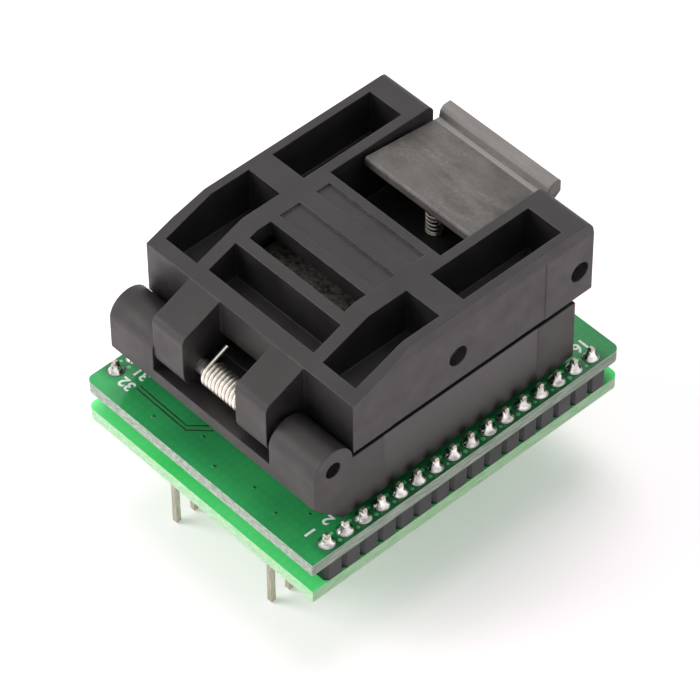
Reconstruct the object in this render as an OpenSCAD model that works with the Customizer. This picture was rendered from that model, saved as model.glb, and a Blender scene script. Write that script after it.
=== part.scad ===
// Clamshell zero-insertion-force socket for a 32-lead quad flat package on a
// two-storey board adapter. Millimetres. X runs from pin row to pin row, Y from
// the hinge to the latch, Z up. The origin is on the ground under the centre of
// the pin pattern, where the part stands on the tips of its pins.

/* [Boards] */
// Width of both boards, across the pin rows
board_w = 35.56; // [32:0.02:42]
// Length of both boards, along the pin rows
board_l = 44.45; // [43.6:0.05:50]
// Thickness of a board
board_t = 1.6; // [1.2:0.1:2]
// Radius of the three rounded board corners
corner_r = 0.9; // [0.3:0.1:1.5]

/* [Pins] */
// Distance between neighbouring pins
pitch = 2.54; // [2.5:0.01:2.6]
// Pins in one row
row_pins = 16; // [14:1:16]
// Distance from the long edges of the boards to the rows that join them
row_inset = 1.27; // [1.1:0.01:1.3]
// Distance between the two rows that plug in
dip_span = 15.24; // [12.7:0.02:20]
// Side of a square pin
pin_side = 0.64; // [0.5:0.02:0.7]
// Height of a plastic pin strip, which is also the gap between the boards
strip_h = 2.54; // [2.4:0.02:3]
// Width of a plastic pin strip
strip_w = 2.5; // [2.2:0.05:2.54]
// Free length of the plug-in pins below their strip
pin_drop = 8.7; // [6:0.1:12]
// How far a soldered pin stands out of its board
pin_stub = 1.45; // [1.3:0.05:1.6]
// Radius of a soldered joint at the board
joint_r = 0.95; // [0.7:0.05:1]
// Height of a soldered joint
joint_h = 1.15; // [0.8:0.05:1.2]

/* [Socket base] */
// Distance from the sides of the socket to the pin rows beside it
row_clear = 0.76; // [0.7:0.02:1.2]
// Chip centre to the outer face of the back wall
base_back = 17.05; // [16.8:0.05:17.1]
// Chip centre to the front of the base at its foot
base_foot = 16.1; // [15.8:0.1:16.4]
// Gap between the base and the board
foot_gap = 1; // [0.8:0.1:1.4]
// Top of the base above the board
base_top = 9.1; // [8.9:0.05:9.2]
// Radius of the four bosses that carry the base
foot_r = 1.5; // [1:0.1:2]
// Height of the sill between the knuckles above the board
sill_top = 6.6; // [6:0.1:6.6]

/* [Hinge] */
// Chip centre to the hinge axis
hinge_y = 17.35; // [17.3:0.05:17.6]
// Height of the hinge axis above the board
hinge_z = 9.2; // [9.1:0.05:9.4]
// Radius of the base knuckles
knuckle_r = 2.65; // [2.5:0.05:2.7]
// Distance between the two knuckles
knuckle_gap = 18; // [17.8:0.1:18.4]
// Distance between the two lid arms
arm_gap = 8.1; // [7.9:0.1:8.4]
// How far the pair of arms stands left of the middle
arm_shift = 0.27; // [0:0.01:0.28]
// Radius of the lid arms round the hinge
arm_r = 2.45; // [2.2:0.05:2.45]
// Diameter of the hinge pin
hinge_d = 1.9; // [1.6:0.05:2]
// Running clearance on the radius of every pin
run = 0.05; // [0.03:0.01:0.08]
// How deep the pins sit inside their bores
pin_sink = 1.2; // [0.8:0.1:2]

/* [Lid] */
// Chip centre to the front face of the lid
lid_front = 14.55; // [14.45:0.05:14.6]
// Chip centre to the back face of the lid
lid_back = 19.4; // [19.3:0.1:20]
// Underside of the lid above the board
lid_base = 9.75; // [9.7:0.05:9.9]
// Flat top of the lid above the board
lid_top = 19.4; // [19.2:0.1:20]
// Chip centre to the bend where the top starts to slope
bend_y = 6.65; // [6:0.05:7]
// How far the sloping top has fallen at the lid's front face
slope_drop = 2.8; // [2.2:0.1:3]
// Height of the side bevel
bevel_h = 1.5; // [1:0.1:2]
// Inset of the side bevel
bevel_in = 0.3; // [0.1:0.05:0.6]
// Thickness of the lid's side walls
side_wall = 1.3; // [1:0.1:1.6]
// Thickness of the ribs between the latch recess and the coring pockets
rib_t = 1.2; // [1:0.1:1.5]
// Height of the pocket floors above the board
pocket_floor = 13.5; // [13.4:0.1:14.5]
// Depth of the two shallow label panels
label_depth = 0.25; // [0.1:0.05:0.5]
// Chip centre to the front wall of the latch recess
recess_front = 4.5; // [4.3:0.1:5]
// Height of the latch recess floor above the board
recess_floor = 12; // [11.8:0.1:12.4]

/* [Latch] */
// Width of the latch lever
latch_w = 16; // [15:0.1:16.1]
// Clearance between the lever and each side of its recess
latch_clear = 0.35; // [0.3:0.01:0.45]
// Chip centre to the latch pivot
latch_y = 17.5; // [17.4:0.05:17.6]
// Height of the latch pivot above the board
latch_z = 13.4; // [13.3:0.05:13.6]
// Diameter of the latch pin and of the pressure plate pin
cross_d = 2.4; // [2:0.05:2.4]
// Radius of the lever round its pivot
latch_r = 2.3; // [1.9:0.05:2.35]

/* [Clamp and chip seat] */
// Height of the pressure plate pivot above the board
plate_z = 13.3; // [13.1:0.1:13.5]
// Width of the pressure plate
plate_w = 15.8; // [14.8:0.1:16]
// Length of the pressure plate
plate_l = 14.8; // [13.8:0.1:15]
// Distance across the pad bars that press the leads
pad_side = 10; // [9.4:0.1:10.2]
// Thickness of a chip lead
lead_t = 0.2; // [0.15:0.01:0.25]
// Side of the floating nest
nest_side = 13.2; // [12.8:0.1:13.4]
// Thickness of the nest plate
nest_t = 2; // [1.6:0.1:2.2]
// Height of the nest's upper face above the board
nest_top = 7.4; // [7.2:0.1:7.4]
// Side of the chip body
chip_side = 7; // [6.8:0.1:7]
// Contacts on one side of the chip
side_contacts = 8; // [6:1:8]
// Distance between neighbouring contacts
contact_pitch = 0.8; // [0.8:0.01:0.84]
// Thickness of a contact blade
blade = 0.22; // [0.15:0.01:0.3]

/* [Springs] */
// Wire diameter of the torsion spring
torsion_wire = 0.48; // [0.4:0.01:0.5]
// Outside diameter of the torsion spring
torsion_od = 3.1; // [3:0.05:3.3]
// Distance between turns of the torsion spring
torsion_pitch = 0.53; // [0.52:0.01:0.7]
// Wire diameter of the compression springs
wire_d = 0.26; // [0.2:0.01:0.3]
// Outside diameter of the latch spring
latch_spring_od = 2.1; // [1.8:0.1:2.4]
// Chip centre to the latch spring
latch_spring_y = 11.7; // [11:0.1:12]
// Outside diameter of the nest springs
nest_spring_od = 1.7; // [1.4:0.1:1.9]

/* [Hidden] */
$fn = 64;
eps = 0.01;
slip = 0.02;                       // side clearance of a pin in its strip or joint

// levels, from the ground up
strip_z = pin_drop;                // underside of the plug-in strips
lower_z = strip_z + strip_h;       // underside of the lower board
gap_z = lower_z + board_t;         // top of the lower board
upper_z = gap_z + strip_h;         // underside of the upper board
deck_z = upper_z + board_t;        // top of the upper board, datum of the socket

header_span = board_w - 2 * row_inset;
row_len = (row_pins - 1) * pitch;
strip_chamfer = 0.42;
strip_slot = pin_side + 2 * slip;
drill_r = 0.52;                    // pin holes in the boards
joint_tip_r = 0.5;
tip = 0.25;                        // chamfered end of a pin

half_w = header_span / 2 - row_clear;
knuckle_in = knuckle_gap / 2;
lean_top = foot_gap + hinge_y + knuckle_r - base_foot + 0.15;  // top of the leaning underside
arm_w = 4.63;
arm_left = -arm_gap / 2 - arm_shift;   // inner faces of the two arms
arm_right = arm_gap / 2 - arm_shift;
arm_front = hinge_y + arm_r;       // front face of the arms
hinge_bore = hinge_d / 2 + run;
cross_bore = cross_d / 2 + run;
slope = slope_drop / (lid_front - bend_y);
notch_back = lid_front + 0.75;     // back wall of the notch between the arms
notch_roof = lid_base + 2.25;      // ceiling of the relief that takes the spring arm
recess_w = latch_w + 2 * latch_clear;
pocket_out = half_w - side_wall;
pocket_in = recess_w / 2 + rib_t;
pocket_w = pocket_out - pocket_in;
rear_pocket = [1.9, 15.9];
panel_w = 14.4;                    // width of the label panels and of the window
slot_w = 16;                       // blind front slot
slot_back = 9;                     // its back wall
mid_rib = 1.4;                     // half length of the rib that carries the plate pin
plate_y = 0.1;
plate_gap = 0.4;                   // room round the pressure plate and the nest
web_top = lid_base + 1.05;         // top of the pressure plate's low rear part
plate_face = lid_top - 4.2;
boss_r = cross_d / 2 + 1;
cavity_x = plate_w / 2 + plate_gap;
cavity_y = plate_l / 2 + plate_gap;
cavity_top = lid_top - 2;
nest_room = nest_side / 2 + 0.3;
nest_travel = 0.6;
nest_floor = nest_top - nest_t - 2 * nest_travel;
retainer_t = 1;
channel_in = 5.9;
channel_out = 8.9;                 // outer end of the contact channels
retainer_side = 2 * channel_out + 1.2;
channel_half = (side_contacts - 1) * contact_pitch / 2 + 0.5;
foot_z = foot_gap + retainer_t;    // level on which the contacts stand
tail_rows = [6.35, 8.35];          // staggered tail rows, from the chip centre
tail_w = 0.4;
tail_end = -board_t - 1;
tail_drill = 0.35;
limb = 0.34;                       // width of a contact's spring limb
limb_out = 8.6;                    // outer face of the limb, from the chip centre
limb_rise = 2.4;                   // straight part of the limb
limb_bend = 1.5;                   // outside radius of its bend
contact_foot = 0.6;                // height of the foot under the limb
tip_in = 4.55;                     // inner face of the contact tips
spring_corner = 5.2;
spring_floor = foot_z + 0.6;       // on which the nest springs stand
pad_half = channel_half - 0.1;     // half length of a pad bar
guide = chip_side / 2 + 0.1;       // inner faces of the nest's corner posts
thumb_y = 9.15;                    // front edge and height of the latch's thumb plate
thumb_z = lid_top - 0.7;
thumb_t = 1.3;                     // its thickness at the front edge
thumb_root = 3.1;                  // start of its underside, before the latch pivot
root_z = 2.95;                     // and above the pivot
lip_back = 2.6;                    // lip of the latch behind the lid's back face
lip_top = 5.25;                    // its top above the latch pivot
lip_under = 3.5;                   // its lower edge above the latch pivot
lip_start = 0.75;                  // start of the wider lip, behind the lid
lip_over = 0.25;                   // overhang of the lip at each side
keeper_z = 7.4;                    // underside of the keeper on the back wall
keeper_in = 1.3;                   // depth of the catch recess behind it
smooth_in = 0.06;                  // depth of the smooth stretch of the side walls

charcoal = "#2b2a29";
pocket_black = "#262524";
mask_green = "#2a9a50";
lower_green = "#2db84d";
tin = "#b9b3a0";
solder = "#d6d6d4";
steel = "#c9c9c6";
grey_zinc = "#8b8a86";
bronze = "#c8a15a";
lever_grey = "#55534f";

// ---------- shared shapes ----------

// Points on a circle in the YZ plane, as [y, z] pairs
function arc(cy, cz, r, a0, a1, n = 12) =
    [for (i = [0:n]) let (a = a0 + (a1 - a0) * i / n) [cy + r * cos(a), cz + r * sin(a)]];

// Extrudes a [y, z] outline along X between two places
module side_profile(outline, x0, x1)
    translate([x0, 0, 0]) rotate([90, 0, 90]) linear_extrude(x1 - x0) polygon(outline);

module box(x0, x1, y0, y1, z0, z1)
    translate([x0, y0, z0]) cube([x1 - x0, y1 - y0, z1 - z0]);

module x_rod(y, z, r, x0, x1)
    translate([x0, y, z]) rotate([0, 90, 0]) cylinder(r = r, h = x1 - x0);

// Repeats its children at every pin of a row
module along_row(x)
    for (i = [0:row_pins - 1]) translate([x, i * pitch - row_len / 2, 0]) children();

// One round wire swept along a path; ref is a direction that the path never follows
module wire(path, r, ref, sides = 8) {
    last = len(path) - 1;
    function unit(v) = v / norm(v);
    function ring(i) =
        let (t = unit(path[min(i + 1, last)] - path[max(i - 1, 0)]),
             u = unit(cross(t, ref)), w = cross(t, u))
        [for (k = [0:sides - 1]) path[i] + r * (cos(360 * k / sides) * u + sin(360 * k / sides) * w)];
    points = [for (i = [0:last]) each ring(i)];
    walls = [for (i = [0:last - 1], k = [0:sides - 1])
        let (a = i * sides, b = a + sides, n = (k + 1) % sides)
        each [[a + k, b + k, b + n], [a + k, b + n, a + n]]];
    caps = [[for (k = [0:sides - 1]) k], [for (k = [sides - 1:-1:0]) last * sides + k]];
    polyhedron(points, concat(walls, caps));
}

// Closed-end compression spring standing on z0, with flat end turns
module coil_spring(od, d, z0, z1, turns) {
    steps = 12;
    r = (od - d) / 2;
    rise = z1 - z0 - d;
    function lift(q) = q < 1 ? q * d / 2 : q > turns - 1 ? rise - (turns - q) * d / 2
        : d / 2 + (rise - d) * (q - 1) / (turns - 2);
    wire([for (i = [0:steps * turns]) let (q = i / steps)
        [r * cos(360 * q), r * sin(360 * q), z0 + d / 2 + lift(q)]], d / 2, [0, 0, 1], 6);
}

// ---------- adapter boards ----------

// Board with its header holes; the children are its other holes
module board(z)
    translate([0, 0, z]) linear_extrude(board_t) difference() {
        board_shape();
        for (s = [-1, 1]) along_row(s * header_span / 2) circle(drill_r);
        children();
    }

// Three round corners and one square corner beside pin 1
module board_shape() {
    x = board_w / 2;
    y = board_l / 2;
    difference() {
        square([board_w, board_l], center = true);
        for (c = [[-1, -1], [-1, 1], [1, 1]])
            translate([c[0] * (x - corner_r), c[1] * (y - corner_r)])
                difference() {
                    translate([c[0] > 0 ? 0 : -corner_r - eps, c[1] > 0 ? 0 : -corner_r - eps])
                        square(corner_r + eps);
                    circle(corner_r);
                }
    }
}

module lower_board() color(lower_green)
    board(lower_z) for (s = [-1, 1]) along_row(s * dip_span / 2) circle(drill_r);

module upper_board() color(mask_green)
    board(upper_z) for (a = [0:90:270]) rotate(a) at_contacts() circle(tail_drill);

// ---------- pin rows ----------

// One eight-sided cell for each pin, chamfered so that the strip has V notches
module strip(x, z) {
    a = strip_w / 2;
    b = pitch / 2;
    c = strip_chamfer;
    translate([0, 0, z]) linear_extrude(strip_h) difference() {
        union() {
            along_row(x) polygon([[-a, c - b], [c - a, -b], [a - c, -b], [a, c - b],
                                  [a, b - c], [a - c, b], [c - a, b], [-a, b - c]]);
            // spine through all the cells
            translate([x + c - a, -row_len / 2]) square([2 * (a - c), row_len]);
        }
        along_row(x) square(strip_slot, center = true);
    }
}

// Square pin with both ends chamfered
module pin(z0, z1) {
    a = pin_side / 2;
    b = a - tip / 2;
    outline = [[-b, z0], [b, z0], [a, z0 + tip], [a, z1 - tip],
               [b, z1], [-b, z1], [-a, z1 - tip], [-a, z0 + tip]];
    intersection() {
        rotate([90, 0, 0]) linear_extrude(pin_side, center = true) polygon(outline);
        rotate([90, 0, 90]) linear_extrude(pin_side, center = true) polygon(outline);
    }
}

module header_strip_left() color(charcoal) strip(-header_span / 2, gap_z);
module header_strip_right() color(charcoal) strip(header_span / 2, gap_z);
module dip_strip_left() color(charcoal) strip(-dip_span / 2, strip_z);
module dip_strip_right() color(charcoal) strip(dip_span / 2, strip_z);

module header_pins(x) color(tin) along_row(x) pin(lower_z - pin_stub, deck_z + pin_stub);
module header_pins_left() header_pins(-header_span / 2);
module header_pins_right() header_pins(header_span / 2);
module dip_pins(x) color(tin) along_row(x) pin(0, gap_z + pin_stub);
module dip_pins_left() dip_pins(-dip_span / 2);
module dip_pins_right() dip_pins(dip_span / 2);

// ---------- soldered joints ----------

// Solder cone round a pin, on the face at z, pointing up or down
module joint(z, up) translate([0, 0, z]) mirror([0, 0, up ? 0 : 1]) difference() {
    cylinder(r1 = joint_r, r2 = joint_tip_r, h = joint_h, $fn = 24);
    cube([strip_slot, strip_slot, 3 * joint_h], center = true);
}

module solder_top() color(solder)
    for (s = [-1, 1]) along_row(s * header_span / 2) joint(deck_z, true);
module solder_underside() color(solder)
    for (s = [-1, 1]) along_row(s * header_span / 2) joint(lower_z, false);
module solder_dip() color(solder)
    for (s = [-1, 1]) along_row(s * dip_span / 2) joint(gap_z, true);
module solder_socket() color(solder)
    for (a = [0:90:270]) rotate(a) at_contacts() translate([0, 0, upper_z - 0.6]) difference() {
        cylinder(r1 = 0.32, r2 = 0.6, h = 0.6, $fn = 24);
        cube([tail_w + 2 * slip, blade + 2 * slip, 3], center = true);
    }

// ---------- socket base ----------

// Everything from here on is measured from the top of the upper board
module on_deck() translate([0, 0, deck_z]) children();

// Side view of the end knuckles, which lean out over the board
function knuckle_outline() = concat(
    [[-lid_front, foot_gap], [-lid_front, base_top]],
    arc(-hinge_y, hinge_z, knuckle_r, 0, 180, 24),
    [[-hinge_y - knuckle_r, lean_top], [-base_foot, foot_gap]]);

function sill_outline() = [[-lid_front, foot_gap], [-lid_front, sill_top],
    [-hinge_y - knuckle_r, sill_top], [-hinge_y - knuckle_r, lean_top], [-base_foot, foot_gap]];

module socket_base() color(charcoal) on_deck() difference() {
    union() {
        box(-half_w, half_w, -lid_front - eps, base_back, foot_gap, base_top);
        side_profile(sill_outline(), -knuckle_in, knuckle_in);
        side_profile(knuckle_outline(), -half_w, -knuckle_in);
        side_profile(knuckle_outline(), knuckle_in, half_w);
        for (s = [-1, 1], y = [-12, 12])
            translate([s * (half_w - 3.25), y, 0]) cylinder(r = foot_r, h = foot_gap + eps);
    }
    x_rod(-hinge_y, hinge_z, hinge_bore, -half_w - 1, half_w + 1);
    // smooth middle stretch of each side wall
    for (s = [-1, 1]) translate([s * half_w, 0, 0]) box(-smooth_in, smooth_in, -10.3, 11.7, 0, lid_top);
    // room for the nest, with a lead-in round its mouth
    box(-nest_room, nest_room, -nest_room, nest_room, nest_floor, lid_top);
    translate([0, 0, base_top - 0.6]) linear_extrude(5) square(2 * nest_room + 1.2, center = true);
    for (a = [0:90:270]) rotate(a) {
        box(channel_in, channel_out, -channel_half, channel_half, 0, nest_top + 0.2);
        translate([spring_corner, spring_corner, spring_floor])
            cylinder(r = nest_spring_od / 2 + 0.3, h = nest_top);
    }
    box(-retainer_side / 2, retainer_side / 2, -retainer_side / 2, retainer_side / 2, 0, foot_z);
    // catch recess under the keeper
    box(-recess_w / 2, recess_w / 2, base_back - keeper_in, base_back + 1, keeper_z - 2.8, keeper_z);
}

module contact_retainer() color(pocket_black) on_deck() difference() {
    side = retainer_side - 0.2;
    translate([-side / 2, -side / 2, foot_gap + 0.05]) cube([side, side, retainer_t - 0.05]);
    for (a = [0:90:270]) rotate(a) at_contacts() cube([tail_w + 0.2, blade + 0.16, 10], center = true);
}

// ---------- contacts ----------

// Places of the contact tails on the +X side, in two staggered rows
module at_contacts()
    for (i = [0:side_contacts - 1])
        translate([tail_rows[i % 2], (i - (side_contacts - 1) / 2) * contact_pitch, 0]) children();

// Flat view of one contact: foot, C-shaped spring limb, and a tip under the lead
module contact_outline(tail_r) {
    bend_x = limb_out - limb_bend;
    foot_in = tail_rows[0] - tail_w / 2 - 0.05;
    crest = foot_z + limb_rise + limb_bend - limb;
    tip_mid = tip_in + tail_w - 0.05;
    translate([tail_r - tail_w / 2, tail_end]) square([tail_w, foot_z - tail_end + contact_foot / 2]);
    translate([foot_in, foot_z]) square([limb_out - foot_in, contact_foot]);
    translate([limb_out - limb, foot_z]) square([limb, limb_rise]);
    translate([bend_x, foot_z + limb_rise]) intersection() {
        difference() {
            circle(limb_bend);
            circle(limb_bend - limb);
        }
        square(2 * limb_bend);
    }
    translate([tip_mid, crest]) square([bend_x + eps - tip_mid, limb]);
    translate([tip_in, crest]) square([tail_w, nest_top - crest - 0.05]);
}

module contacts(turn) color(bronze) on_deck() rotate(turn)
    for (i = [0:side_contacts - 1])
        translate([0, (i - (side_contacts - 1) / 2) * contact_pitch, 0])
            rotate([90, 0, 0]) linear_extrude(blade, center = true) contact_outline(tail_rows[i % 2]);

module contacts_right() contacts(0);
module contacts_back() contacts(90);
module contacts_left() contacts(180);
module contacts_front() contacts(270);

// ---------- floating nest ----------

module nest() color(charcoal) on_deck() difference() {
    h = nest_side / 2;
    union() {
        box(-h, h, -h, h, nest_top - nest_t, nest_top);
        // corner posts that centre the chip body
        for (a = [0:90:270]) rotate(a) box(guide, h, guide, h, nest_top - eps, nest_top + 1.2);
    }
    // pocket of the chip body
    box(-guide, guide, -guide, guide, nest_top - 0.5, lid_top);
    // windows for the contact tips
    for (a = [0:90:270]) rotate(a) box(tip_in - 0.45, h + 1, -channel_half, channel_half, 0, lid_top);
}

module nest_springs() color(steel) on_deck()
    for (a = [0:90:270]) rotate(a) translate([spring_corner, spring_corner, 0])
        coil_spring(nest_spring_od, wire_d, spring_floor, nest_top - nest_t, 5);

// ---------- hinge ----------

module hinge_pin() color(steel) on_deck()
    x_rod(-hinge_y, hinge_z, hinge_d / 2, pin_sink - half_w, half_w - pin_sink);

coil_r = (torsion_od - torsion_wire) / 2;
coil_x0 = -2.68;                   // left end of the torsion spring, where its arm leaves
coil_x1 = arm_right - 0.1 - torsion_wire / 2;
spring_arm = 3.05;                 // length of its arm
arm_angle = 114;                   // where the arm leaves the coil, seen from +X
arm_turn = 156;                    // stretch of the first turn that swings with the arm
lid_swing = 90;

// Centre of the wire at angle a along the coil
function on_coil(a) =
    [coil_x0 + torsion_pitch * (a - arm_angle) / 360,
     coil_r * cos(a) - hinge_y, coil_r * sin(a) + hinge_z];
function coil_path(a0, a1) = let (n = ceil((a1 - a0) / 24))
    [for (i = [0:n]) on_coil(a0 + (a1 - a0) * i / n)];

// The coil with its lower leg, which rests on the sill
module torsion_spring() color(steel) on_deck() {
    a0 = arm_angle + arm_turn + lid_swing + 8;
    a1 = 360 * floor((coil_x1 - coil_x0) / torsion_pitch - 0.37) + 245;
    foot = on_coil(a1);
    reach = (foot[2] - sill_top - torsion_wire / 2 - 0.05) / -cos(a1);
    wire(concat(coil_path(a0, a1), [foot + reach * [0, -sin(a1), cos(a1)]]),
        torsion_wire / 2, [1, 0, 0]);
}

// The arm with the start of the first turn: both swing with the lid
module torsion_spring_arm() color(steel) on_deck() {
    root = on_coil(arm_angle);
    wire(concat([root + spring_arm * [0, sin(arm_angle), -cos(arm_angle)]],
        coil_path(arm_angle, arm_angle + arm_turn)), torsion_wire / 2, [1, 0, 0]);
}

// ---------- lid ----------

// Side view: flat top, sloping front, rounded back edge
function lid_outline() = concat(
    [[-lid_front, lid_base], [lid_back, lid_base]],
    arc(lid_back - 1, lid_top - 1, 1, 0, 90, 8),
    [[-bend_y, lid_top], [-lid_front, lid_top - slope_drop]]);

// Side view of an arm: it follows the slope, rounds over and wraps the hinge
function arm_outline() =
    let (front_top = lid_top - slope * (arm_front - bend_y) - 1.1)
    concat(
        arc(-hinge_y, hinge_z, arm_r, 180, 360, 16),
        [[-hinge_y + arm_r, lid_base], [-lid_front + 1, lid_base],
         [-lid_front + 1, lid_top - slope * (lid_front - 1 - bend_y)]],
        arc(-arm_front + 1.1, front_top - 0.1, 1.1, 90 + atan(slope), 180, 6));

module lid() color(charcoal) on_deck() difference() {
    union() {
        side_profile(lid_outline(), -half_w, half_w);
        side_profile(arm_outline(), arm_left - arm_w, arm_left);
        side_profile(arm_outline(), arm_right, arm_right + arm_w);
    }
    for (s = [-1, 1]) {
        // bevel along the top edge
        translate([s * half_w, 0, lid_top]) rotate([90, 0, 0])
            linear_extrude(100, center = true)
                polygon([[-s * bevel_in, eps], [s, eps], [s, -bevel_h], [0, -bevel_h]]);
        // smooth middle stretch of the side
        translate([s * half_w, 0, 0]) box(-smooth_in, smooth_in, -9.2, 12.6, 0, lid_top - bevel_h);
        // coring pockets, front and rear
        translate([s * (pocket_in + pocket_w / 2), 0, pocket_floor]) {
            box(-pocket_w / 2, pocket_w / 2, 1.55 - lid_front, -mid_rib, 0, lid_top);
            box(-pocket_w / 2, pocket_w / 2, rear_pocket[0], rear_pocket[1], 0, lid_top);
        }
    }
    // notch between the arms, and the relief behind it for the spring arm
    box(arm_left, arm_right, -2 * hinge_y, -notch_back, 0, 2 * lid_top);
    box(arm_left, arm_right, -2 * hinge_y, -slot_back - 0.6, 0, notch_roof);
    // blind front slot, and the window on the pressure plate
    box(-slot_w / 2, slot_w / 2, 1.75 - lid_front, -slot_back, pocket_floor + 0.1, 2 * lid_top);
    box(-panel_w / 2, panel_w / 2, -cavity_y, -4.8, lid_base, 2 * lid_top);
    // bare label panels
    for (y = [[-3.6, -0.8], [1.5, 3.4]])
        box(-panel_w / 2, panel_w / 2, y[0], y[1], lid_top - label_depth, 2 * lid_top);
    // cavity of the pressure plate: high in front, low under the latch recess
    box(-cavity_x, cavity_x, -cavity_y, recess_front - 0.6, 0, cavity_top);
    box(-cavity_x, cavity_x, -cavity_y, cavity_y, 0, recess_floor - 0.8);
    // latch recess, open at the back and through the back edge of its floor
    box(-recess_w / 2, recess_w / 2, recess_front, lid_back + 1, recess_floor, 2 * lid_top);
    box(-recess_w / 2, recess_w / 2, latch_y - latch_r - 0.4, lid_back + 1, 0, 2 * lid_top);
    // bores
    x_rod(-hinge_y, hinge_z, hinge_bore, -half_w - 1, half_w + 1);
    x_rod(plate_y, plate_z, cross_bore, -half_w - 1, half_w + 1);
    x_rod(latch_y, latch_z, cross_bore, -half_w - 1, half_w + 1);
}

// ---------- pressure plate ----------

module pressure_plate() color(grey_zinc) on_deck() difference() {
    x = plate_w / 2;
    y = plate_l / 2;
    union() {
        box(-x, x, -y, y, lid_base + 0.15, web_top);
        // raised front part, seen through the window of the lid
        box(-x, x, -y, -3.1, web_top - eps, plate_face);
        side_profile(concat([[plate_y - boss_r, web_top - 0.3]], arc(plate_y, plate_z, boss_r, 180, 0, 16),
            [[plate_y + boss_r, web_top - 0.3]]), -x, x);
        // four bars round the chip body, one over each row of leads
        for (a = [0:90:270]) rotate(a)
            box(chip_side / 2 + 0.4, pad_side / 2, -pad_half, pad_half,
                nest_top + lead_t + 0.1, lid_base + 0.3);
    }
    x_rod(plate_y, plate_z, cross_bore, -x - 1, x + 1);
}

module cross_pin(y, z) color(steel) on_deck()
    x_rod(y, z, cross_d / 2, pin_sink - half_w, half_w - pin_sink);
module pressure_plate_pin() cross_pin(plate_y, plate_z);
module latch_pin() cross_pin(latch_y, latch_z);

// ---------- latch ----------

// Side view: thumb plate, worn step, finger lip, leg round the pivot, and hook
function latch_outline() =
    let (lip = lid_back + lip_back, back = latch_y + latch_r, nose = base_back + 0.1)
    concat(
    [[thumb_y + 0.1, thumb_z - thumb_t], [thumb_y, thumb_z - 1.1], [thumb_y, thumb_z - 0.2],
     [thumb_y + 0.2, thumb_z], [lid_back - 0.2, latch_z + 4.2], [lid_back + 0.5, latch_z + 4.15],
     [lid_back + lip_start, latch_z + lip_top - 1.3],
     [lid_back + 0.9, latch_z + lip_top - 0.5], [lid_back + 1.3, latch_z + lip_top - 0.05],
     [lip - 0.25, latch_z + lip_top], [lip, latch_z + lip_top - 0.3], [lip, latch_z + lip_under],
     [back + 0.2, latch_z + 2], [back, latch_z],
     [base_back + 2.45, keeper_z - 1], [base_back + 1.95, keeper_z - 1.7], [base_back + 0.75, keeper_z - 1.7],
     [nose, keeper_z - 1], [nose, keeper_z - 0.25],
     [nose + 0.65, keeper_z - 0.15], [nose + 0.45, base_top + 0.5]],
    arc(latch_y, latch_z, latch_r, 225, 150, 6),
    [[latch_y - thumb_root, latch_z + root_z]]);

// Height of the thumb plate's underside at y
function thumb_under(y) = let (z0 = latch_z + root_z)
    z0 + (thumb_z - thumb_t - z0) * (latch_y - thumb_root - y) / (latch_y - thumb_root - thumb_y - 0.1);

// The lip is a little wider than the plate, which runs inside the recess
module latch_lever() color(lever_grey) on_deck() difference() {
    union() {
        side_profile(latch_outline(), -latch_w / 2, latch_w / 2);
        intersection() {
            side_profile(latch_outline(), -latch_w / 2 - lip_over, latch_w / 2 + lip_over);
            box(-latch_w, latch_w, lid_back + lip_start, lid_back + 2 * lip_back,
                latch_z + lip_under - 1.5, 2 * lid_top);
        }
    }
    x_rod(latch_y, latch_z, cross_bore, -latch_w, latch_w);
}

module latch_spring() color(steel) on_deck() translate([0, latch_spring_y, 0])
    coil_spring(latch_spring_od, wire_d, recess_floor,
        thumb_under(latch_spring_y + latch_spring_od / 2) - slip, 9);

lower_board();
upper_board();
header_strip_left();
header_strip_right();
header_pins_left();
header_pins_right();
dip_strip_left();
dip_strip_right();
dip_pins_left();
dip_pins_right();
solder_top();
solder_underside();
solder_dip();
solder_socket();
socket_base();
contact_retainer();
contacts_front();
contacts_back();
contacts_left();
contacts_right();
nest();
nest_springs();
hinge_pin();
torsion_spring();
torsion_spring_arm();
lid();
pressure_plate();
pressure_plate_pin();
latch_lever();
latch_pin();
latch_spring();
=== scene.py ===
import math

import bmesh
import bpy
from mathutils import Euler, Matrix, Vector


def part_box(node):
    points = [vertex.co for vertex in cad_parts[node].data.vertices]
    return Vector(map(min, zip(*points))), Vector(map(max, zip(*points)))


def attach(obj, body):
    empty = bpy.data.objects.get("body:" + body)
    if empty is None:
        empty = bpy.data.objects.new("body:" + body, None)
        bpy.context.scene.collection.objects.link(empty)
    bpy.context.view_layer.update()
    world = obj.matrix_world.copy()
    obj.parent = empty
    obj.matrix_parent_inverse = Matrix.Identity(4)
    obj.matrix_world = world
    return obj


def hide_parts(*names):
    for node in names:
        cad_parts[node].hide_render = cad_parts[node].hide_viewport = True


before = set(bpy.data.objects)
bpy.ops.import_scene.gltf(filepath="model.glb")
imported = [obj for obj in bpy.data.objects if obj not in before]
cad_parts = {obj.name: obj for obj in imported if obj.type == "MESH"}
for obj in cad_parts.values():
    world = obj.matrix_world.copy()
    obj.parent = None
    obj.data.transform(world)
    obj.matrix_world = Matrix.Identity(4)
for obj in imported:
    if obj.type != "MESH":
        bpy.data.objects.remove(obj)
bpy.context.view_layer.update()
scene = bpy.context.scene
MM = 0.001

# ---------------------------------------------------------------- boards
# Two double-sided glass-epoxy boards, 1.6 mm thick, routed to size. Both faces carry
# a gloss green solder mask; the sawn edges show the layers of glass cloth in resin.

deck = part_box("upper_board")[1].z
lower_low, lower_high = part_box("lower_board")


def linear(code):
    """An sRGB hex value as linear red, green, blue, alpha."""
    parts = [int(code[i : i + 2], 16) / 255 for i in (1, 3, 5)]
    return [p / 12.92 if p < 0.04045 else ((p + 0.055) / 1.055) ** 2.4 for p in parts] + [1.0]


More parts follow.
